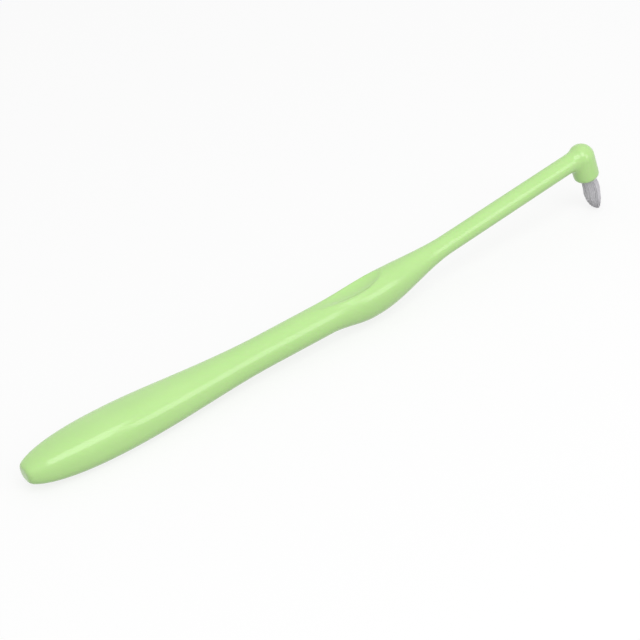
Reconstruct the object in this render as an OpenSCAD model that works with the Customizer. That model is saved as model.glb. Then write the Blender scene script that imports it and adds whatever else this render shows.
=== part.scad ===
// Single tuft toothbrush, in millimetres.
// It lies as it rests on a table: the tip of the tuft and the underside of the grip touch z = 0.
// +X runs from the grip end to the head, the left and right halves mirror across y = 0,
// and the origin is under the middle of the overall length.

/* [Grip] */
// Length from the blunt end to the widest place of the grip
swell_len = 25; // [20:1:32]
// Width of the grip at its widest place
grip_w = 13.3; // [11.5:0.1:15]
// Height of the grip at its widest place
grip_h = 10.4; // [9.4:0.1:12]
// How much of the rounded end is cut off flat
end_cut = 1.3; // [0.6:0.1:2]
// Roundness of the end, where 2 is an ellipse and more is fuller
end_fullness = 2.3; // [2:0.1:3]
// Squareness of the grip's section, where 2 is an ellipse and more is squarer
grip_squareness = 2.5; // [2.1:0.1:3]
// Length over which the grip narrows to the neck
taper_len = 43; // [34:1:52]
// Angle by which the grip end is lifted, in degrees
grip_lift = 1.5; // [0:0.5:4]

/* [Neck] */
// Length of the even neck between the grip and the thumb rest
neck_len = 17; // [10:1:26]
// Width and height of the neck
neck_d = 8.1; // [7.4:0.1:9]

/* [Thumb rest] */
// Length over which the thumb rest swells out of the neck
rise_len = 12; // [8:0.5:16]
// Length over which the thumb rest keeps its full size
crest_len = 1.5; // [0.5:0.5:4]
// Length over which the thumb rest narrows to the shank
fade_len = 24; // [18:0.5:32]
// Width of the thumb rest
rest_w = 9.4; // [8.6:0.1:11]
// Height of the back of the thumb rest above its middle line
rest_back = 4.3; // [4:0.1:5]
// Depth of the belly of the thumb rest under its middle line
rest_belly = 5.9; // [4.6:0.1:7]

/* [Thumb dish] */
// Half width of the dish in the back of the thumb rest
dish_half_w = 2.85; // [2.2:0.05:3.2]
// Depth of the dish under its rim, at the middle of its length
dish_depth = 0.8; // [0.4:0.05:1.2]
// Distance from the start of the thumb rest to the deepest place of the dish
dish_at = 9.8; // [8:0.1:12]
// Radius of the long bottom curve towards the grip
dish_grip_r = 39; // [30:1:60]
// Radius of the long bottom curve towards the head
dish_head_r = 18; // [14:1:30]

/* [Shank] */
// Length of the straight shank, from the thumb rest to the middle of the head
shank_len = 42.5; // [34:0.5:50]
// Diameter of the shank at the thumb rest
shank_d = 5; // [4.6:0.1:5.8]
// Diameter of the shank at the head
shank_tip_d = 4.8; // [4:0.1:5.2]
// Angle between the neck and the shank, in degrees
bend = 6; // [3:0.5:9]
// Distance from the start of the thumb rest to the start of the bend
bend_from = 2; // [0:0.5:6]
// Length of the bend
bend_len = 24; // [16:1:32]

/* [Head] */
// Diameter of the head and of its domed top
head_d = 6.9; // [6.2:0.1:8]
// How much narrower the head is at its bottom face, as the draft of its mould
head_draft = 0.3; // [0:0.05:0.5]
// Distance from the middle of the dome to the bottom face of the head
head_drop = 6.4; // [5.8:0.1:8]
// Radius of the rounded bottom edge
head_edge_r = 1.1; // [0.4:0.1:1.2]
// Height of the shank's middle line above the middle of the dome
shank_rise = 0.4; // [0:0.1:0.6]

/* [Tuft hole and anchor] */
// Diameter of the tuft hole
hole_d = 4; // [3.4:0.1:4.2]
// Depth of the tuft hole
hole_depth = 5.9; // [5.7:0.1:6.2]
// Thickness of the flat anchor
anchor_t = 0.4; // [0.3:0.05:0.5]
// Height of the flat anchor
anchor_h = 1.6; // [1:0.1:2]
// How far each end of the anchor bites into the wall of the hole
anchor_bite = 0.3; // [0.2:0.05:0.5]
// Room between the outermost fold and the end of the hole
fold_room = 0.1; // [0.05:0.05:0.3]

/* [Tuft] */
// Diameter of one filament
filament_d = 0.3; // [0.26:0.02:0.4]
// Gap between neighbouring filaments, and to the wall of the hole
filament_gap = 0.02; // [0.01:0.01:0.06]
// Length of the tuft outside the head, at its tip
tuft_len = 10; // [7:0.1:11]
// How much shorter a filament at the wall of the hole is cut than one at the tip
tuft_drop = 4.4; // [2:0.1:5]
// Distance of the tip from the middle of the tuft, away from the grip
tip_offset = 0.2; // [0:0.1:0.6]
// How far an outermost filament would spread outwards over the full length
tuft_flare = 0.35; // [0.1:0.05:0.8]
// How far the whole tuft leans away from the grip over the full length
tuft_lean = 0.3; // [0:0.05:0.8]

/* [Hidden] */

PLASTIC = [0.77, 0.93, 0.62];
NYLON = [0.84, 0.83, 0.88];
METAL = [0.78, 0.71, 0.52];

// Rings and sides of the lofted handle
END_RINGS = 14;
BODY_RINGS = 66;
SIDES = 44;
// Segments of a full circle on the turned shapes
ROUND = 64;
// Segments round a filament, and of a full circle on its long arc
FILAMENT_SIDES = 14;
ARC_SIDES = 360;
// Straight steps along each arc of the thumb dish
DISH_STEPS = 7;
// Overlap that keeps cuts clean
EPS = 0.01;
// How far the spindle that cuts the thumb dish reaches above the dish's rim
DISH_MARGIN = 2.2;
// How far inside the taper of the grip its lift starts and stops
LIFT_MARGIN = 9;
// Exponent of the superellipse that is the section of the neck
NECK_SQUARENESS = 2.1;

// Places along the middle line of the handle
taper_end = swell_len + taper_len;
rest_from = taper_end + neck_len;
rest_full = rest_from + rise_len;
fade_from = rest_full + crest_len;
shank_from = fade_from + fade_len;
handle_len = shank_from + shank_len;
lift_from = swell_len + LIFT_MARGIN;
lift_to = taper_end - LIFT_MARGIN;
level_at = (taper_end + rest_from) / 2;

// Soft step from value a at place s0 to value b at place s1
function step_t(s, s0, s1) = min(max((s - s0) / (s1 - s0), 0), 1);
function ease(a, b, s, s0, s1) = let (t = step_t(s, s0, s1)) a + (b - a) * t * t * (3 - 2 * t);

// Half size of the handle at place s, from its values on the grip, neck, thumb rest and shank
function end_round(s) = pow(1 - pow(max(1 - s / swell_len, 0), end_fullness), 1 / end_fullness);
function half_size(s, grip, neck, rest, shank, tip) =
    s < swell_len ? grip * end_round(s) :
    s < rest_from ? ease(grip, neck, s, swell_len, taper_end) :
    s < fade_from ? ease(neck, rest, s, rest_from, rest_full) :
    s < shank_from ? ease(rest, shank, s, fade_from, shank_from) :
    shank + (tip - shank) * (s - shank_from) / shank_len;
function half_w(s) = half_size(s, grip_w / 2, neck_d / 2, rest_w / 2, shank_d / 2, shank_tip_d / 2);
function back_h(s) = half_size(s, grip_h / 2, neck_d / 2, rest_back, shank_d / 2, shank_tip_d / 2);
function belly_h(s) = half_size(s, grip_h / 2, neck_d / 2, rest_belly, shank_d / 2, shank_tip_d / 2);

// Exponent of the section's superellipse at place s
function squareness(s) =
    s < level_at ? ease(grip_squareness, NECK_SQUARENESS, s, swell_len, taper_end) :
    ease(NECK_SQUARENESS, 2, s, rest_full, shank_from);

// Pitch of the middle line at place s, in degrees
function pitch(s) =
    s < level_at ? ease(-grip_lift, 0, s, lift_from, lift_to) :
    ease(0, bend, s, rest_from + bend_from, rest_from + bend_from + bend_len);

// Places of the rings: close together round the blunt end, then even
end_start = acos(1 - end_cut / swell_len);
places = concat(
    [for (i = [0 : END_RINGS - 1]) swell_len * (1 - cos(end_start + (90 - end_start) * i / END_RINGS))],
    [for (i = [0 : BODY_RINGS]) swell_len + (handle_len - swell_len) * i / BODY_RINGS]);
RINGS = len(places);

// Middle line of the handle as [x, z] points, walked from ring to ring
function walk(i, x, z) =
    i == RINGS - 1 ? [[x, z]] :
    let (s = (places[i] + places[i + 1]) / 2, d = places[i + 1] - places[i])
    concat([[x, z]], walk(i + 1, x + d * cos(pitch(s)), z + d * sin(pitch(s))));
spine = walk(0, 0, 0);

// One ring of the loft, with a flat side and no corner at the lowest place, so that the grip lies steady
function arc_pow(v, k) = sign(v) * pow(abs(v), k);
function ring(i) =
    let (s = places[i], w = half_w(s), back = back_h(s), belly = belly_h(s))
    let (p = pitch(s), k = 2 / squareness(s))
    [for (j = [0 : SIDES - 1])
        let (a = 360 * (j + 0.5) / SIDES, h = (sin(a) > 0 ? back : belly) * arc_pow(sin(a), k))
        [spine[i].x - h * sin(p), w * arc_pow(cos(a), k), spine[i].y + h * cos(p)]];
rings = [for (i = [0 : RINGS - 1]) ring(i)];

// Middle of the dome of the head
dome = [spine[RINGS - 1].x + shank_rise * sin(bend), 0, spine[RINGS - 1].y - shank_rise * cos(bend)];

// Legs of the folded filaments, as [u, w] beside the anchor: u across it, w along it
row_pitch = (filament_d + filament_gap) * sin(60);
first_row = anchor_t / 2 + filament_d / 2 + filament_gap / 2;
leg_reach = hole_d / 2 - filament_d / 2 - filament_gap;
ROWS = floor((leg_reach - first_row) / row_pitch) + 1;
function row_u(j) = first_row + j * row_pitch;
function row_w(j) = sqrt(max(leg_reach * leg_reach - row_u(j) * row_u(j), 0));
function row_start(j) = j % 2 == 0 ? 0 : (filament_d + filament_gap) / 2;
function row_count(j) = floor((row_w(j) - row_start(j)) / (filament_d + filament_gap));
folds = [for (j = [0 : ROWS - 1])
    for (k = [-row_count(j) - (j % 2) : row_count(j)])
        if (row_w(j) >= row_start(j)) [row_u(j), row_start(j) + k * (filament_d + filament_gap)]];

// How far the two halves of the tuft, parted by the anchor, close up again over the full length
tuft_close = first_row - filament_d / 2 - filament_gap * 3 / 2 + tuft_flare * first_row / leg_reach;

// How a leg spreads outside the head: its drift over the full length, its cut length and its bend
function drift(leg) = [
    tuft_flare * leg.x / leg_reach + tuft_lean - sign(leg.x) * tuft_close,
    tuft_flare * leg.y / leg_reach];
function cut_len(leg) = tuft_len - tuft_drop * pow(norm(leg - [tip_offset, 0]) / (hole_d / 2), 2);
function leg_r(leg) = tuft_len * tuft_len / (2 * max(norm(drift(leg)), EPS));
function leg_bend(leg) = cut_len(leg) / leg_r(leg) * 180 / PI;
function leg_turn(leg) = atan2(drift(leg).y, drift(leg).x);
function leg_tip(leg) =
    let (r = leg_r(leg), b = leg_bend(leg), t = leg_turn(leg), out = r * (1 - cos(b)))
    [leg.x + out * cos(t), leg.y + out * sin(t), -head_drop - r * sin(b)];
function leg_edge(leg) = let (b = leg_bend(leg), t = leg_turn(leg))
    filament_d / 2 * sqrt(1 - pow(sin(b) * cos(t) * sin(bend) - cos(b) * cos(bend), 2));
legs = concat(folds, [for (f = folds) [-f.x, f.y]]);

// Height of the anchor's upper edge, on a round hundredth so that legs and folds share it exactly
fold_edge = floor((-head_drop + hole_depth - fold_room - row_u(ROWS - 1) - filament_d / 2) * 100) / 100;

// The tips of the legs in the frame of the grip, and the lowest of them
function pitched(p, a) = [p.x * cos(a) - p.z * sin(a), p.y, p.x * sin(a) + p.z * cos(a)];
function from_head(p) = dome + pitched(p, bend);
tips = [for (leg = legs) from_head(leg_tip(leg)) - [0, 0, leg_edge(leg)]];
tip_z = min([for (t = tips) t.z]);
tip_x = [for (t = tips) if (t.z == tip_z) t.x][0];

// Pitch at rest: the line from the tuft's tip that just touches the underside of the grip
rest_pitch = min([for (i = [0 : RINGS - 1])
    if (places[i] < rest_from)
        for (p = rings[i])
            atan2(p.z - tip_z, tip_x - p.x)]);
function at_rest(p) = pitched(p, rest_pitch);
floor_z = at_rest([tip_x, 0, tip_z]).z;
low_x = min([for (r = rings) for (p = r) at_rest(p).x]);
lean = bend + rest_pitch;
edge_middle = [(head_d - head_draft) / 2 - head_edge_r, 0, head_edge_r - head_drop];
head_x = at_rest(dome).x + max(head_d / 2, pitched(edge_middle, lean).x + head_edge_r);
high_x = max(head_x, max([for (leg = legs) at_rest(from_head(leg_tip(leg))).x]) + filament_d / 2);

// Turns the upright frame of the grip into the frame of the brush at rest
module lay_down() {
    translate([-(low_x + high_x) / 2, 0, -floor_z])
        rotate([0, -rest_pitch, 0])
            children();
}

// Places a shape drawn round the middle of the dome, with the tuft along -Z
module at_head() {
    translate(dome)
        rotate([0, -bend, 0])
            children();
}

// Grip, neck, thumb rest and shank as one smooth loft with flat ends
module handle_loft() {
    sides = [for (i = [0 : RINGS - 2]) for (j = [0 : SIDES - 1])
        let (a = i * SIDES + j, b = i * SIDES + (j + 1) % SIDES)
        [a, a + SIDES, b + SIDES, b]];
    start_cap = [for (j = [0 : SIDES - 1]) j];
    end_cap = [for (j = [SIDES - 1 : -1 : 0]) (RINGS - 1) * SIDES + j];
    skin = concat(sides, [start_cap, end_cap]);
    polyhedron(points = [for (r = rings) each r], faces = skin, convexity = 4);
}

// Head: a short barrel with a domed top, a slight draft and a rounded bottom edge. The flank is the
// straight line that touches the circles of the dome and of the edge
module head_barrel() {
    r = head_d / 2;
    edge = [edge_middle.x, edge_middle.z];
    turn = atan2(edge.y, edge.x) + acos((r - head_edge_r) / norm(edge));
    out = [cos(turn), sin(turn)];
    rotate_extrude($fn = ROUND)
        intersection() {
            union() {
                circle(r = r, $fn = ROUND);
                polygon([[0, 0], [0, edge.y], edge, edge + head_edge_r * out, r * out]);
                translate([0, -head_drop])
                    square([edge.x, head_edge_r]);
                translate(edge)
                    circle(r = head_edge_r, $fn = ROUND);
            }
            translate([0, -head_drop])
                square([r, head_drop + r]);
        }
}

// Blind hole for the tuft, and the two slots that the anchor cuts in its wall
module tuft_hole() {
    translate([0, 0, -head_drop - EPS])
        cylinder(d = hole_d, h = hole_depth + EPS, $fn = ROUND);
    anchor_block();
}

// The anchor's own shape: a flat plate across the hole, its upper edge inside the folds
module anchor_block() {
    len = hole_d + 2 * anchor_bite;
    translate([-anchor_t / 2, -len / 2, fold_edge - anchor_h])
        cube([anchor_t, len, anchor_h]);
}

// Spoon-shaped dish: a spindle laid along the back, with a long arc towards the grip and a short one
// towards the head
module thumb_dish() {
    s = rest_from + dish_at;
    i = len([for (p = places) if (p < s) p]);
    crown = back_h(s) * pow(1 - pow(dish_half_w / half_w(s), squareness(s)), 1 / squareness(s));
    r = (dish_half_w * dish_half_w + dish_depth * dish_depth) / (2 * dish_depth);
    translate([spine[i].x, 0, spine[i].y])
        rotate([0, -pitch(s), 0])
            translate([s - places[i], 0, crown - dish_depth + r])
                rotate([0, 90, 0])
                    rotate_extrude($fn = ROUND)
                        spindle_half(r);
}

// Outline of the spindle beside its axis, widest at y = 0, in short straight steps along its two arcs
function spindle_x(r, y) = let (a = y < 0 ? dish_grip_r : dish_head_r) r - a + sqrt(a * a - y * y);
module spindle_half(r) {
    reach = dish_depth + DISH_MARGIN;
    y0 = -sqrt(dish_grip_r * dish_grip_r - pow(dish_grip_r - reach, 2));
    y1 = sqrt(dish_head_r * dish_head_r - pow(dish_head_r - reach, 2));
    edge = concat(
        [for (i = [0 : DISH_STEPS]) y0 * (1 - i / DISH_STEPS)],
        [for (i = [1 : DISH_STEPS]) y1 * i / DISH_STEPS]);
    polygon(concat([[0, y0]], [for (y = edge) [spindle_x(r, y), y]], [[0, y1]]));
}

// The moulded handle, from the grip end to the head, in one piece
module handle() {
    color(PLASTIC)
        lay_down()
            difference() {
                union() {
                    handle_loft();
                    at_head()
                        head_barrel();
                }
                thumb_dish();
                at_head()
                    tuft_hole();
            }
}

// Flat metal anchor pressed across the tuft hole
module tuft_anchor() {
    color(METAL)
        lay_down()
            at_head()
                anchor_block();
}

// The soft arc of one leg outside the head, from the bottom face to its cut end
module filament_arc(leg) {
    r = leg_r(leg);
    translate([leg.x, leg.y, -head_drop])
        rotate([90, 0, leg_turn(leg)])
            translate([r, 0, 0])
                rotate([0, 0, 180])
                    rotate_extrude(angle = leg_bend(leg), $fn = ARC_SIDES)
                        translate([r, 0])
                            circle(d = filament_d, $fn = FILAMENT_SIDES);
}

// The straight part of one leg, from the bottom face up to the fold
module filament_shaft(leg) {
    translate([leg.x, leg.y, -head_drop])
        cylinder(d = filament_d, h = fold_edge + head_drop, $fn = FILAMENT_SIDES);
}

// One filament, folded over the upper edge of the anchor
module filament(fold) {
    filament_arc(fold);
    filament_shaft(fold);
    translate([0, fold.y, fold_edge])
        rotate([90, 0, 0])
            rotate_extrude(angle = 180, $fn = ROUND)
                translate([fold.x, 0])
                    circle(d = filament_d, $fn = FILAMENT_SIDES);
    filament_shaft([-fold.x, fold.y]);
    filament_arc([-fold.x, fold.y]);
}

// The tuft: rows of folded filaments, each one a solid of its own
module bristle_tuft() {
    color(NYLON)
        lay_down()
            at_head()
                for (fold = folds)
                    filament(fold);
}

handle();
tuft_anchor();
bristle_tuft();
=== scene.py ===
"""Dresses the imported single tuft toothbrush. Lengths are in millimetres until a mesh is made.

The handle and the tuft are built again as finer pieces in the places of their CAD nodes,
from the same named sizes. The anchor keeps its CAD node and gets a material."""
import math

import bmesh
import bpy
import numpy as np
from mathutils import Matrix, Vector


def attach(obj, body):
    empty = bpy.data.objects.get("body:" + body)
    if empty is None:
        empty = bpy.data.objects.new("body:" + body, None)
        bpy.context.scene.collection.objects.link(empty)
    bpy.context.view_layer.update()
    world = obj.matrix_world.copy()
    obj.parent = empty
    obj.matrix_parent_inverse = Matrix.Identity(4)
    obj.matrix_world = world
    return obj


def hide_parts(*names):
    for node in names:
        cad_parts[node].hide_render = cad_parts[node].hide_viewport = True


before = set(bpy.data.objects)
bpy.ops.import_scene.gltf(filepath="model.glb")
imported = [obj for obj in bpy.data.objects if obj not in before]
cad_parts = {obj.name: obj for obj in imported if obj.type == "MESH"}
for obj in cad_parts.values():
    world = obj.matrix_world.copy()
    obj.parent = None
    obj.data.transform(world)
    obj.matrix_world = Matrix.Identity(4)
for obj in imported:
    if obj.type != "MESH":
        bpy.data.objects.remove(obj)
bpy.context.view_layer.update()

MM = 0.001

# Grip
SWELL_LEN = 25.0
GRIP_W = 13.3
GRIP_H = 10.4
END_CUT = 1.3
END_FULLNESS = 2.3
END_EDGE = 1.1  # width of the soft edge round the flat end
GRIP_SQUARENESS = 2.5
TAPER_END = SWELL_LEN + 43.0
GRIP_LIFT = 1.5
LIFT_MARGIN = 9.0

# Neck, thumb rest and its dish
NECK_D = 8.1
NECK_SQUARENESS = 2.1
REST_FROM = TAPER_END + 17.0
LEVEL_AT = (TAPER_END + REST_FROM) / 2
REST_FULL = REST_FROM + 12.0
FADE_FROM = REST_FULL + 1.5
SHANK_FROM = FADE_FROM + 24.0
REST_W = 9.4
REST_BACK = 4.3
REST_BELLY = 5.9
DISH_AT = REST_FROM + 9.8
DISH_HALF_W = 2.85
DISH_DEPTH = 0.8
DISH_GRIP_R = 39.0
DISH_HEAD_R = 18.0
DISH_MARGIN = 2.2
RIM_AT_GRIP = 0.9  # width of the soft edge round the dish
RIM_AT_HEAD = 0.3

# Shank and head
SHANK_LEN = 42.5
HANDLE_LEN = SHANK_FROM + SHANK_LEN
SHANK_D = 5.0
SHANK_TIP_D = 4.8
BEND = math.radians(6.0)
BEND_FROM = REST_FROM + 2.0
BEND_TO = BEND_FROM + 24.0
HEAD_R = 3.45
HEAD_DRAFT = 0.3
HEAD_DROP = 6.4
HEAD_EDGE_R = 1.1
SHANK_RISE = 0.4
HEAD_REACH = 6.0  # length of shank that is meshed together with the head
HEAD_FILLET = 1.4  # length of the fillet on the shank and on the head

# Tuft hole and anchor, with heights from the middle of the head's dome
HOLE_D = 4.0
HOLE_TOP = 5.9 - HEAD_DROP
ANCHOR_T = 0.4
ANCHOR_H = 1.6
ANCHOR_BITE = 0.3
ANCHOR_LEN = HOLE_D + 2 * ANCHOR_BITE
FOLD_EDGE = -2.5

# Tuft, of finer filaments than the CAD's
FILAMENT_D = 0.16
FILAMENT_GAP = 0.01
TUFT_LEN = 9.97
TUFT_DROP = 4.4  # how much shorter the legs at the tuft's side are
DROP_POWER = 2.3
TIP_OFFSET = 0.25
TUFT_FLARE = 0.6
FLARE_POWER = 4
TUFT_GATHER = 0.7  # share of the spread that is taken back towards the tip
TUFT_LEAN = 0.45
LEAN_POWER = 6
TUFT_BOW = 0.33  # how far the tuft bows away from the grip near the head, and back lower down
BOW_TURN = math.radians(330)
LEG_STRAY = 0.07  # how far the end of a leg strays sideways
CUT_STRAY = 0.16  # how much shorter a leg may be cut
STRAY_SEED = 7
ROUND_PLACES = (0.8, 0.4)  # how far past a leg's end its rounding has rings, in radii
ROUND_SIZES = (0.6, 0.92)  # and the size of these rings, in radii

# Mesh density: numbers of steps and sides, and gaps between rings
LINE_POINTS = 4001
END_RINGS = 56
SIDES = 160
RING_GAP = 0.6
FINE_GAP = 0.22
FINE_MARGIN = 8.0
OUTLINE_POINTS = 500
HEAD_STEPS = 79
FILLET_STEPS = 9
JOIN_STEPS = 11
HALVINGS = 40
HOLE_SIDES = 96
HOLE_MOUTH = 1.0  # how far the cutter of the hole stands out of it
FILAMENT_SIDES = 8
LEG_STEPS = 10
FOLD_STEPS = 8
SAME_POINT = 0.0005  # points closer than this are one
SHARP_ANGLE = math.radians(40)

# Materials
NOISE_FROM, NOISE_TO = 0.3, 0.7  # noise values at the two ends of a material's range
PAINTED_SHADE_HEIGHT = 3.5  # height above the table below which painted shade darkens the filaments
# share of the filaments' colour that the painted shade leaves at the table
PAINTED_SHADE_SHARE = 0.72

# Floor and world, which look white and give less light than that
FLOOR_HALF = 1500.0
FLOOR_WHITE = 0.97
FLOOR_GLOW = 0.8
FLOOR_BOUNCE = 0.48
WORLD_LIGHT = 0.62

# Camera, fitted to the outline of the object in the photograph
CAMERA_AIM = Vector((-1.48, -0.39, 7.26)) * MM
CAMERA_DISTANCE = 600 * MM
CAMERA_AZIMUTH = math.radians(-25.02)
CAMERA_ELEVATION = math.radians(31.75)
CAMERA_ROLL = math.radians(12.58)
CAMERA_LENS = 139.25


# The handle's formulas, as in the CAD

def ease(a, b, s, s0, s1):
    """Soft step from a at s0 to b at s1."""
    t = np.clip((s - s0) / (s1 - s0), 0, 1)
    return a + (b - a) * t * t * (3 - 2 * t)


def smooth_max(a, b, width):
    """The larger of a and b, with a soft turn where they meet."""
    near = np.maximum(width - np.abs(a - b), 0) / width
    return np.maximum(a, b) + near * near * width / 4


def signed_power(value, exponent):
    return np.sign(value) * np.abs(value) ** exponent


def half_size(s, grip, neck, rest, shank, tip):
    """Half size of the handle at place s, from that of grip, neck, thumb rest, shank and tip."""
    end = (1 - np.maximum(1 - s / SWELL_LEN, 0) ** END_FULLNESS) ** (1 / END_FULLNESS)
    return np.select(
        [s < SWELL_LEN, s < REST_FROM, s < FADE_FROM, s < SHANK_FROM],
        [
            grip * end,
            ease(grip, neck, s, SWELL_LEN, TAPER_END),
            ease(neck, rest, s, REST_FROM, REST_FULL),
            ease(rest, shank, s, FADE_FROM, SHANK_FROM),
        ],
        shank + (tip - shank) * (s - SHANK_FROM) / SHANK_LEN,
    )


def half_width(s):
    return half_size(s, GRIP_W / 2, NECK_D / 2, REST_W / 2, SHANK_D / 2, SHANK_TIP_D / 2)


def back_height(s):
    return half_size(s, GRIP_H / 2, NECK_D / 2, REST_BACK, SHANK_D / 2, SHANK_TIP_D / 2)


def belly_height(s):
    return half_size(s, GRIP_H / 2, NECK_D / 2, REST_BELLY, SHANK_D / 2, SHANK_TIP_D / 2)


def squareness(s):
    grip_side = ease(GRIP_SQUARENESS, NECK_SQUARENESS, s, SWELL_LEN, TAPER_END)
    return np.where(s < LEVEL_AT, grip_side, ease(NECK_SQUARENESS, 2, s, REST_FULL, SHANK_FROM))


def pitch(s):
    """Slope of the middle line at place s."""
    lift = ease(-math.radians(GRIP_LIFT), 0, s, SWELL_LEN + LIFT_MARGIN, TAPER_END - LIFT_MARGIN)
    return np.where(s < LEVEL_AT, lift, ease(0, BEND, s, BEND_FROM, BEND_TO))


def middle_line():
    """Places along the middle line, with its x and z at each."""
    s = np.linspace(END_CUT, HANDLE_LEN, LINE_POINTS)
    step = np.diff(s)
    middle = (s[1:] + s[:-1]) / 2
    x = np.concatenate([[0], np.cumsum(step * np.cos(pitch(middle)))])
    z = np.concatenate([[0], np.cumsum(step * np.sin(pitch(middle)))])
    return s, x, z


LINE_S, LINE_X, LINE_Z = middle_line()
ANGLES = np.arange(SIDES) * 2 * np.pi / SIDES


def line_at(s):
    return np.interp(s, LINE_S, LINE_X), np.interp(s, LINE_S, LINE_Z)


def pitched(points, angle):
    """Points turned about Y, so that +X lifts by that angle."""
    x, y, z = np.moveaxis(np.asarray(points, float), -1, 0)
    c, s = math.cos(angle), math.sin(angle)
    return np.stack([x * c - z * s, y, x * s + z * c], axis=-1)


# Places of the head and of the grip at rest, read from the anchor's CAD node

def head_place():
    """The lean of the head's axis and the middle of its dome, with the brush at rest."""
    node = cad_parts["tuft_anchor"]
    corners = np.array([v.co for v in node.data.vertices]) / MM
    middle = (corners.min(axis=0) + corners.max(axis=0)) / 2
    flat = (corners - middle)[:, [0, 2]]
    up = np.linalg.eigh(flat.T @ flat)[1][:, 1]
    up *= np.sign(up[1])
    lean = math.atan2(-up[0], up[1])
    return lean, middle - pitched([0, 0, FOLD_EDGE - ANCHOR_H / 2], lean)


LEAN, DOME = head_place()
REST_PITCH = LEAN - BEND
GRIP_ORIGIN = DOME - pitched(
    [
        LINE_X[-1] + SHANK_RISE * math.sin(BEND),
        0,
        LINE_Z[-1] - SHANK_RISE * math.cos(BEND),
    ],
    REST_PITCH,
)


def grip_to_rest(points):
    return pitched(points, REST_PITCH) + GRIP_ORIGIN


def head_to_rest(points):
    return pitched(points, LEAN) + DOME


def new_object(name, points, faces, material=None):
    mesh = bpy.data.meshes.new(name)
    mesh.from_pydata((np.asarray(points) * MM).tolist(), [], faces)
    mesh.polygons.foreach_set("use_smooth", [True] * len(mesh.polygons))
    if material:
        mesh.materials.append(material)
    made = bpy.data.objects.new(name, mesh)
    bpy.context.scene.collection.objects.link(made)
    return made


# The handle's mesh

def press_dish(points):
    """Lowers the points of the back that the spoon-shaped dish takes away, in the grip's frame."""
    crown_share = 1 - (DISH_HALF_W / half_width(DISH_AT)) ** squareness(DISH_AT)
    crown = back_height(DISH_AT) * crown_share ** (1 / squareness(DISH_AT))
    r = (DISH_HALF_W**2 + DISH_DEPTH**2) / (2 * DISH_DEPTH)
    x0, z0 = line_at(DISH_AT)
    local = pitched(points - np.array([x0, 0, z0]), -pitch(DISH_AT))
    along, side, height = np.moveaxis(local, -1, 0)
    arc = np.where(along < 0, DISH_GRIP_R, DISH_HEAD_R)
    reach = np.sqrt(arc**2 - (arc - DISH_DEPTH - DISH_MARGIN) ** 2)
    bowl_r = r - arc + np.sqrt(arc**2 - np.minimum(np.abs(along), reach) ** 2)
    inside = (np.abs(along) < reach) & (np.abs(side) < bowl_r)
    bowl = crown - DISH_DEPTH + r - np.sqrt(np.where(inside, bowl_r**2 - side**2, 0))
    rim = ease(RIM_AT_GRIP, RIM_AT_HEAD, along, -reach.max(), reach.min())
    pressed = -smooth_max(-height, -bowl, rim)
    local[..., 2] = np.where(inside & (height > 0), pressed, height)
    return pitched(local, pitch(DISH_AT)) + np.array([x0, 0, z0])


def ring_places():
    """Places of the rings: close together at the blunt end and round the thumb rest."""
    turn = np.linspace(0, np.pi / 2, END_RINGS + 1)[1:]
    end = SWELL_LEN * (1 - np.cos(turn))
    fine_from, fine_to = REST_FROM - FINE_MARGIN, REST_FULL + FINE_MARGIN
    stretches = [
        (SWELL_LEN, fine_from, RING_GAP),
        (fine_from, fine_to, FINE_GAP),
        (fine_to, HANDLE_LEN - HEAD_REACH, RING_GAP),
    ]
    rest = [np.linspace(a, b, math.ceil((b - a) / gap) + 1)[1:] for a, b, gap in stretches]
    return np.concatenate([end, *rest])


def loft_rings():
    """Rings of the handle from the blunt end to the last stretch of the shank, at rest."""
    s = ring_places()
    x, z = line_at(smooth_max(s, END_CUT, END_EDGE))
    power = (2 / squareness(s))[:, None]
    rise = signed_power(np.sin(ANGLES)[None, :], power)
    height = np.where(rise > 0, back_height(s)[:, None], belly_height(s)[:, None]) * rise
    side = half_width(s)[:, None] * signed_power(np.cos(ANGLES)[None, :], power)
    slope = pitch(s)[:, None]
    x, z = x[:, None] - height * np.sin(slope), z[:, None] + height * np.cos(slope)
    return grip_to_rest(press_dish(np.stack([x, side, z], axis=-1)))


def head_distance(points):
    """How far points in the head's frame are outside the head, which is a dome, a flank
    with draft, a rounded edge and a flat bottom."""
    x, y, z = np.moveaxis(points, -1, 0)
    r = np.hypot(x, y)
    edge_r, edge_z = HEAD_R - HEAD_DRAFT / 2 - HEAD_EDGE_R, HEAD_EDGE_R - HEAD_DROP
    spare = (HEAD_R - HEAD_EDGE_R) / math.hypot(edge_r, edge_z)
    turn = math.atan2(edge_z, edge_r) + math.acos(spare)
    out_r, out_z = math.cos(turn), math.sin(turn)
    down = r * out_z - z * out_r
    dome = np.hypot(r, z) - HEAD_R
    flank = r * out_r + z * out_z - HEAD_R
    edge = np.hypot(r - edge_r, z - edge_z) - HEAD_EDGE_R
    bottom = -z - HEAD_DROP
    flank_end = edge_r * out_z - edge_z * out_r
    return np.select([down < 0, down < flank_end, r > edge_r], [dome, flank, edge], bottom)


def solve(inside, outside, distance):
    """Halves the stretch between an inside and an outside value until it holds the surface."""
    for _ in range(HALVINGS):
        middle = (inside + outside) / 2
        out = distance(middle) > 0
        outside = np.where(out, middle, outside)
        inside = np.where(out, inside, middle)
    return (inside + outside) / 2


def half_plane(x, out):
    """Points in the head's frame, from place along the shank and distance from its axis."""
    return np.stack([x, out * np.cos(ANGLES), SHANK_RISE + out * np.sin(ANGLES)], axis=-1)


def shank_r(x):
    """Radius of the shank at place x of the head's frame."""
    return half_width(HANDLE_LEN + x)


def along_path(path, steps):
    """Points at those shares of a path's length."""
    length = np.concatenate([[0], np.cumsum(np.linalg.norm(np.diff(path, axis=0), axis=1))])
    at = np.asarray(steps) * length[-1]
    return np.stack([np.interp(at, length, path[:, 0]), np.interp(at, length, path[:, 1])], axis=-1)


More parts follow.
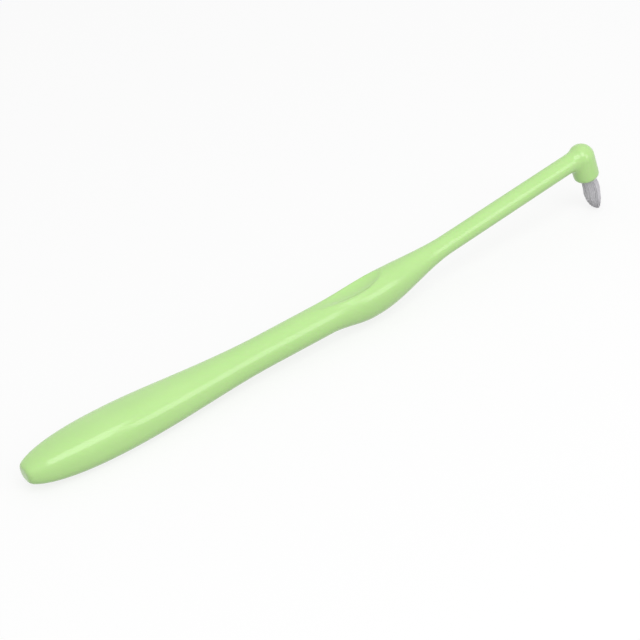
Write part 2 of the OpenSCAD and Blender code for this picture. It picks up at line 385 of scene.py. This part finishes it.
def head_rings():
    """Rings from the last stretch of the shank over the fillet and head to the far pole."""
    corner_x = solve(
        np.zeros(SIDES),
        np.full(SIDES, -HEAD_REACH),
        lambda x: head_distance(half_plane(x, shank_r(x))),
    )
    corner_turn = np.arctan2(shank_r(corner_x), -corner_x)
    turns = corner_turn + (np.pi - corner_turn) * np.linspace(0, 1, OUTLINE_POINTS)[:, None]
    reach = solve(
        np.zeros_like(turns),
        np.full_like(turns, 2 * HEAD_DROP),
        lambda r: head_distance(half_plane(-r * np.cos(turns), r * np.sin(turns))),
    )
    outline_x, outline_r = -reach * np.cos(turns), reach * np.sin(turns)
    bend = np.linspace(0, 1, FILLET_STEPS + 1)[1:, None]
    join_steps = np.linspace(0, 1, JOIN_STEPS + 1)[1:]
    paths = []
    for side in range(SIDES):
        outline = np.stack([outline_x[:, side], outline_r[:, side]], axis=-1)
        length = np.linalg.norm(np.diff(outline, axis=0), axis=1).sum()
        head = along_path(outline, np.linspace(HEAD_FILLET / length, 1, HEAD_STEPS + 1))
        x = corner_x[side]
        start = np.array([x - HEAD_FILLET, shank_r(x - HEAD_FILLET)])
        corner = np.array([x, shank_r(x)])
        fillet = (1 - bend) ** 2 * start + 2 * bend * (1 - bend) * corner + bend**2 * head[0]
        join = along_path(np.array([[-HEAD_REACH, shank_r(-HEAD_REACH)], start]), join_steps)
        paths.append(np.concatenate([join, fillet, head[1:-1]]))
    paths = np.array(paths)
    return head_to_rest(half_plane(paths[:, :, 0].T, paths[:, :, 1].T))


def skin(rings):
    """Quads between neighbouring rings of one closed tube."""
    count, sides = rings.shape[:2]
    faces = []
    for i in range(count - 1):
        for j in range(sides):
            k = (j + 1) % sides
            faces.append((i * sides + j, i * sides + k, (i + 1) * sides + k, (i + 1) * sides + j))
    return faces


def cap(first, sides, pole, forward):
    """Triangles from one ring to its pole."""
    pairs = [(first + j, first + (j + 1) % sides) for j in range(sides)]
    return [(a, b, pole) if forward else (b, a, pole) for a, b in pairs]


def cut(piece, name, points, faces):
    """Takes a closed shape out of a piece, and merges the points that it leaves in one place."""
    tool = new_object(name, points, faces)
    modifier = piece.modifiers.new(name, "BOOLEAN")
    modifier.operation = "DIFFERENCE"
    modifier.solver = "EXACT"
    modifier.object = tool
    depsgraph = bpy.context.evaluated_depsgraph_get()
    mesh = bpy.data.meshes.new_from_object(piece.evaluated_get(depsgraph))
    work = bmesh.new()
    work.from_mesh(mesh)
    bmesh.ops.remove_doubles(work, verts=work.verts, dist=SAME_POINT * MM)
    work.to_mesh(mesh)
    work.free()
    piece.modifiers.clear()
    piece.data = mesh
    bpy.data.objects.remove(tool)


def cut_tuft_hole(handle):
    turn = np.arange(HOLE_SIDES) * 2 * np.pi / HOLE_SIDES
    circle = np.stack([np.cos(turn), np.sin(turn), np.zeros(HOLE_SIDES)], axis=-1) * HOLE_D / 2
    rings = np.array([circle + [0, 0, -HEAD_DROP - HOLE_MOUTH], circle + [0, 0, HOLE_TOP]])
    walls = skin(rings)
    ends = [tuple(range(HOLE_SIDES - 1, -1, -1)), tuple(range(HOLE_SIDES, 2 * HOLE_SIDES))]
    cut(handle, "tuft_hole", head_to_rest(rings.reshape(-1, 3)), walls + ends)


def cut_anchor_slots(handle):
    signs = [(x, y, z) for x in (-1, 1) for y in (-1, 1) for z in (-1, 1)]
    middle = np.array([0, 0, FOLD_EDGE - ANCHOR_H / 2])
    block = np.array(signs) * np.array([ANCHOR_T, ANCHOR_LEN, ANCHOR_H]) / 2 + middle
    sides = [(0, 1, 3, 2), (4, 6, 7, 5), (0, 4, 5, 1), (2, 3, 7, 6), (0, 2, 6, 4), (1, 5, 7, 3)]
    cut(handle, "anchor_slots", head_to_rest(block), sides)


def make_handle(material):
    rings = np.concatenate([loft_rings(), head_rings()])
    end_pole = grip_to_rest([0, 0, 0])
    far_reach = solve(0, 2 * HEAD_R, lambda r: head_distance(np.array([r, 0, SHANK_RISE])))
    far_pole = head_to_rest([float(far_reach), 0, SHANK_RISE])
    points = np.concatenate([rings.reshape(-1, 3), [end_pole, far_pole]])
    count = len(rings) * SIDES
    faces = skin(rings)
    faces += cap(0, SIDES, count, False)
    faces += cap(count - SIDES, SIDES, count + 1, True)
    handle = new_object("moulded_handle", points, faces, material)
    cut_tuft_hole(handle)
    cut_anchor_slots(handle)
    handle.data.set_sharp_from_angle(angle=SHARP_ANGLE)
    return handle


# The tuft: fine filaments, each folded once over the anchor

ROW_PITCH = (FILAMENT_D + FILAMENT_GAP) * math.sin(math.radians(60))
FIRST_ROW = ANCHOR_T / 2 + FILAMENT_D / 2 + FILAMENT_GAP / 2
LEG_REACH = HOLE_D / 2 - FILAMENT_D / 2 - FILAMENT_GAP
TUFT_CLOSE = FIRST_ROW - (FILAMENT_D + FILAMENT_GAP) / 2  # how far each half closes up in the hole


def fold_places():
    """Places of the folds on one side of the anchor, in hexagonal rows."""
    places = []
    for row in range(math.floor((LEG_REACH - FIRST_ROW) / ROW_PITCH) + 1):
        u = FIRST_ROW + row * ROW_PITCH
        reach = math.sqrt(LEG_REACH**2 - u**2)
        step = FILAMENT_D + FILAMENT_GAP
        start = step / 2 * (row % 2)
        for k in range(-math.ceil(reach / step) - 1, math.ceil(reach / step) + 1):
            if abs(start + k * step) <= reach:
                places.append((u, start + k * step))
    return places


def leg_path(u, w, chance):
    """One leg from its cut end up to the lower edge of the anchor, in the head's frame."""
    off_tip = math.hypot(u - TIP_OFFSET, w) / (HOLE_D / 2)
    length = TUFT_LEN - TUFT_DROP * off_tip**DROP_POWER - CUT_STRAY * chance.random()
    t = length / TUFT_LEN * np.linspace(1, 0, LEG_STEPS + 1)
    spread = TUFT_FLARE * (1 - (1 - t) ** FLARE_POWER) * (1 - TUFT_GATHER * t) / LEG_REACH
    lean = TUFT_LEAN * t**LEAN_POWER + TUFT_BOW * np.sin(BOW_TURN * t)
    stray_u, stray_w = chance.normal(0, LEG_STRAY, 2)
    x = u - math.copysign(TUFT_CLOSE, u) + u * spread + lean + stray_u * t
    y = w + w * spread + stray_w * t
    outside = np.stack([x, y, -HEAD_DROP - TUFT_LEN * t], axis=-1)
    return np.concatenate([outside, [[u, w, FOLD_EDGE - ANCHOR_H]]])


def filament_path(u, w, chance):
    """One filament: a leg, the fold over the anchor and the other leg."""
    turn = np.linspace(0, np.pi, FOLD_STEPS + 1)
    x, y, z = u * np.cos(turn), np.full_like(turn, w), FOLD_EDGE + u * np.sin(turn)
    fold = np.stack([x, y, z], axis=-1)
    return np.concatenate([leg_path(u, w, chance), fold, leg_path(-u, w, chance)[::-1]])


def filament_rings(path):
    """Rings round a path, with rounded ends."""
    ahead = np.gradient(path, axis=0)
    ahead /= np.linalg.norm(ahead, axis=1, keepdims=True)
    across = np.cross(ahead, [0, 1, 0])
    across /= np.linalg.norm(across, axis=1, keepdims=True)
    over = np.cross(ahead, across)
    r = FILAMENT_D / 2
    starts = [path[0] - ahead[0] * r * place for place in ROUND_PLACES]
    ends = [path[-1] + ahead[-1] * r * place for place in reversed(ROUND_PLACES)]
    centres = [*starts, *path, *ends]
    sizes = np.array([*ROUND_SIZES, *[1] * len(path), *reversed(ROUND_SIZES)]) * r
    first, last = [0, 0], [-1, -1]
    frames_a = np.concatenate([across[first], across, across[last]])
    frames_b = np.concatenate([over[first], over, over[last]])
    turn = np.arange(FILAMENT_SIDES) * 2 * np.pi / FILAMENT_SIDES
    spread = frames_a[:, None] * np.cos(turn)[:, None] + frames_b[:, None] * np.sin(turn)[:, None]
    return np.array(centres)[:, None] + spread * sizes[:, None, None]


def make_tuft(material):
    chance = np.random.default_rng(STRAY_SEED)
    points, faces = [], []
    for u, w in fold_places():
        rings = filament_rings(filament_path(u, w, chance))
        start = sum(len(p) for p in points)
        points.append(rings.reshape(-1, 3))
        faces += [tuple(start + i for i in face) for face in skin(rings)]
        last = start + (len(rings) - 1) * FILAMENT_SIDES
        faces.append(tuple(start + j for j in range(FILAMENT_SIDES - 1, -1, -1)))
        faces.append(tuple(last + j for j in range(FILAMENT_SIDES)))
    return new_object("nylon_tuft", head_to_rest(np.concatenate(points)), faces, material)


# Materials

def new_material(name):
    material = bpy.data.materials.new(name)
    material.use_nodes = True
    nodes = material.node_tree.nodes
    return material, nodes, material.node_tree.links, nodes["Principled BSDF"]


def noise(nodes, links, scale, detail=2.0):
    """Noise in the object's own space, with scale as its number of cells a millimetre."""
    place = nodes.new("ShaderNodeTexCoord")
    made = nodes.new("ShaderNodeTexNoise")
    made.inputs["Scale"].default_value = scale / MM
    made.inputs["Detail"].default_value = detail
    links.new(place.outputs["Object"], made.inputs["Vector"])
    return made.outputs["Fac"]


def remap(nodes, links, value, low, high):
    """A number that follows a noise from low to high."""
    made = nodes.new("ShaderNodeMapRange")
    made.inputs["From Min"].default_value = NOISE_FROM
    made.inputs["From Max"].default_value = NOISE_TO
    made.inputs["To Min"].default_value = low
    made.inputs["To Max"].default_value = high
    links.new(value, made.inputs["Value"])
    return made.outputs["Result"]


def tint(nodes, links, value, low, high):
    """A colour that follows a noise from low to high."""
    made = nodes.new("ShaderNodeValToRGB")
    made.color_ramp.elements[0].position = NOISE_FROM
    made.color_ramp.elements[0].color = (*low, 1)
    made.color_ramp.elements[1].position = NOISE_TO
    made.color_ramp.elements[1].color = (*high, 1)
    links.new(value, made.inputs["Fac"])
    return made.outputs["Color"]


def bump(nodes, links, value, height, shader):
    """Lets the shader's surface follow a noise, up to that height in millimetres."""
    made = nodes.new("ShaderNodeBump")
    made.inputs["Strength"].default_value = 1
    made.inputs["Distance"].default_value = height * MM
    links.new(value, made.inputs["Height"])
    links.new(made.outputs["Normal"], shader.inputs["Normal"])


def plastic():
    """Glossy moulded polypropylene: soft waves in its surface, fine grain in its gloss."""
    material, nodes, links, shader = new_material("green_plastic")
    waves = noise(nodes, links, scale=0.06)
    colour = tint(nodes, links, waves, low=(0.488, 0.777, 0.287), high=(0.508, 0.797, 0.302))
    links.new(colour, shader.inputs["Base Color"])
    gloss = remap(nodes, links, noise(nodes, links, scale=1.5, detail=4), low=0.10, high=0.16)
    links.new(gloss, shader.inputs["Roughness"])
    bump(nodes, links, noise(nodes, links, scale=0.25), height=0.009, shader=shader)
    shader.inputs["IOR"].default_value = 1.49
    shader.inputs["Subsurface Weight"].default_value = 0.15
    shader.inputs["Subsurface Radius"].default_value = (0.6, 1.0, 0.4)
    shader.inputs["Subsurface Scale"].default_value = 0.8 * MM
    return material


def nylon():
    """Half clear filament, with painted shade that darkens it towards the cut ends near the table.
    """
    material, nodes, links, shader = new_material("grey_nylon")
    streaks = noise(nodes, links, scale=3.0)
    colour = tint(nodes, links, streaks, low=(0.73, 0.71, 0.75), high=(0.86, 0.85, 0.88))
    # Painted shade: the colour darkens towards the table, in the object's own height.
    place = nodes.new("ShaderNodeTexCoord")
    height = nodes.new("ShaderNodeSeparateXYZ")
    links.new(place.outputs["Object"], height.inputs[0])
    painted_shade = nodes.new("ShaderNodeMapRange")
    painted_shade.inputs["From Max"].default_value = PAINTED_SHADE_HEIGHT * MM
    painted_shade.inputs["To Min"].default_value = PAINTED_SHADE_SHARE
    links.new(height.outputs["Z"], painted_shade.inputs["Value"])
    shade = nodes.new("ShaderNodeVectorMath")
    shade.operation = "SCALE"
    links.new(colour, shade.inputs[0])
    links.new(painted_shade.outputs["Result"], shade.inputs["Scale"])
    links.new(shade.outputs["Vector"], shader.inputs["Base Color"])
    gloss = remap(nodes, links, noise(nodes, links, scale=6.0), low=0.3, high=0.45)
    links.new(gloss, shader.inputs["Roughness"])
    shader.inputs["IOR"].default_value = 1.53
    shader.inputs["Transmission Weight"].default_value = 0.15
    return material


def metal():
    """Bare drawn wire, with a fine grain."""
    material, nodes, links, shader = new_material("drawn_metal")
    patches = noise(nodes, links, scale=2.0)
    colour = tint(nodes, links, patches, low=(0.52, 0.43, 0.22), high=(0.62, 0.53, 0.30))
    links.new(colour, shader.inputs["Base Color"])
    gloss = remap(nodes, links, noise(nodes, links, scale=9.0, detail=4), low=0.25, high=0.4)
    links.new(gloss, shader.inputs["Roughness"])
    bump(nodes, links, noise(nodes, links, scale=9.0), height=0.003, shader=shader)
    shader.inputs["Metallic"].default_value = 1
    return material


# Pieces

handle_piece = make_handle(plastic())
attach(handle_piece, "root")
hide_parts("handle")

tuft_piece = make_tuft(nylon())
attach(tuft_piece, "root")
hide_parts("bristle_tuft")

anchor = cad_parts["tuft_anchor"]
anchor.data.materials.clear()
anchor.data.materials.append(metal())


# Stage, light and camera

def seen_share(nodes, links):
    """1 for rays from the camera, from gloss and from clear material, and 0 for the others."""
    path = nodes.new("ShaderNodeLightPath")
    total = path.outputs["Is Camera Ray"]
    for other in ("Is Glossy Ray", "Is Transmission Ray"):
        made = nodes.new("ShaderNodeMath")
        made.operation = "MAXIMUM"
        links.new(total, made.inputs[0])
        links.new(path.outputs[other], made.inputs[1])
        total = made.outputs[0]
    return total


def make_floor():
    points = [(x * FLOOR_HALF, y * FLOOR_HALF, 0) for x, y in ((-1, -1), (1, -1), (1, 1), (-1, 1))]
    material, nodes, links, shader = new_material("pale_floor")
    seen = seen_share(nodes, links)
    colour = nodes.new("ShaderNodeMix")
    colour.data_type = "RGBA"
    colour.inputs["A"].default_value = (FLOOR_BOUNCE, FLOOR_BOUNCE, FLOOR_BOUNCE, 1)
    colour.inputs["B"].default_value = (FLOOR_WHITE, FLOOR_WHITE, FLOOR_WHITE, 1)
    links.new(seen, colour.inputs["Factor"])
    links.new(colour.outputs["Result"], shader.inputs["Base Color"])
    shader.inputs["Roughness"].default_value = 0.9
    shader.inputs["Specular IOR Level"].default_value = 0
    glow = nodes.new("ShaderNodeEmission")
    glow.inputs["Strength"].default_value = 1
    mix = nodes.new("ShaderNodeMixShader")
    share = nodes.new("ShaderNodeMath")
    share.operation = "MULTIPLY"
    share.inputs[1].default_value = FLOOR_GLOW
    links.new(seen, share.inputs[0])
    links.new(share.outputs[0], mix.inputs["Fac"])
    links.new(shader.outputs[0], mix.inputs[1])
    links.new(glow.outputs[0], mix.inputs[2])
    links.new(mix.outputs[0], nodes["Material Output"].inputs["Surface"])
    floor = new_object("floor", points, [(0, 1, 2, 3)], material)


def make_world():
    world = bpy.data.worlds.new("studio")
    bpy.context.scene.world = world
    world.use_nodes = True
    nodes, links = world.node_tree.nodes, world.node_tree.links
    soft = nodes["Background"]
    soft.inputs["Color"].default_value = (1, 1, 1, 1)
    soft.inputs["Strength"].default_value = WORLD_LIGHT
    seen = nodes.new("ShaderNodeBackground")
    seen.inputs["Color"].default_value = (1, 1, 1, 1)
    seen.inputs["Strength"].default_value = 1
    mix = nodes.new("ShaderNodeMixShader")
    links.new(seen_share(nodes, links), mix.inputs["Fac"])
    links.new(soft.outputs[0], mix.inputs[1])
    links.new(seen.outputs[0], mix.inputs[2])
    links.new(mix.outputs[0], nodes["World Output"].inputs["Surface"])


def make_light(name, place, size, power):
    """A soft box of that width and length, in millimetres, which faces the origin."""
    data = bpy.data.lights.new(name, "AREA")
    data.shape = "RECTANGLE"
    data.size, data.size_y = size[0] * MM, size[1] * MM
    data.energy = power
    lamp = bpy.data.objects.new(name, data)
    lamp.location = Vector(place) * MM
    lamp.rotation_euler = (-lamp.location).to_track_quat("-Z", "Y").to_euler()
    bpy.context.scene.collection.objects.link(lamp)


def make_camera():
    data = bpy.data.cameras.new("camera")
    data.sensor_width = 36
    data.lens = CAMERA_LENS
    data.clip_start = 0.01
    camera = bpy.data.objects.new("camera", data)
    side, rise = math.cos(CAMERA_ELEVATION), math.sin(CAMERA_ELEVATION)
    back = Vector((math.sin(CAMERA_AZIMUTH) * side, -math.cos(CAMERA_AZIMUTH) * side, rise))
    turn = back.to_track_quat("Z", "Y").to_matrix() @ Matrix.Rotation(-CAMERA_ROLL, 3, "Z")
    camera.matrix_world = Matrix.Translation(CAMERA_AIM + back * CAMERA_DISTANCE) @ turn.to_4x4()
    bpy.context.scene.collection.objects.link(camera)
    bpy.context.scene.camera = camera


make_floor()
make_world()
make_light("key", place=(-70, -499, 622), size=(490, 600), power=2.75)
make_light("strip", place=(296, -698, 254), size=(225, 460), power=0.8)
make_camera()
bpy.context.scene.view_settings.view_transform = "Standard"
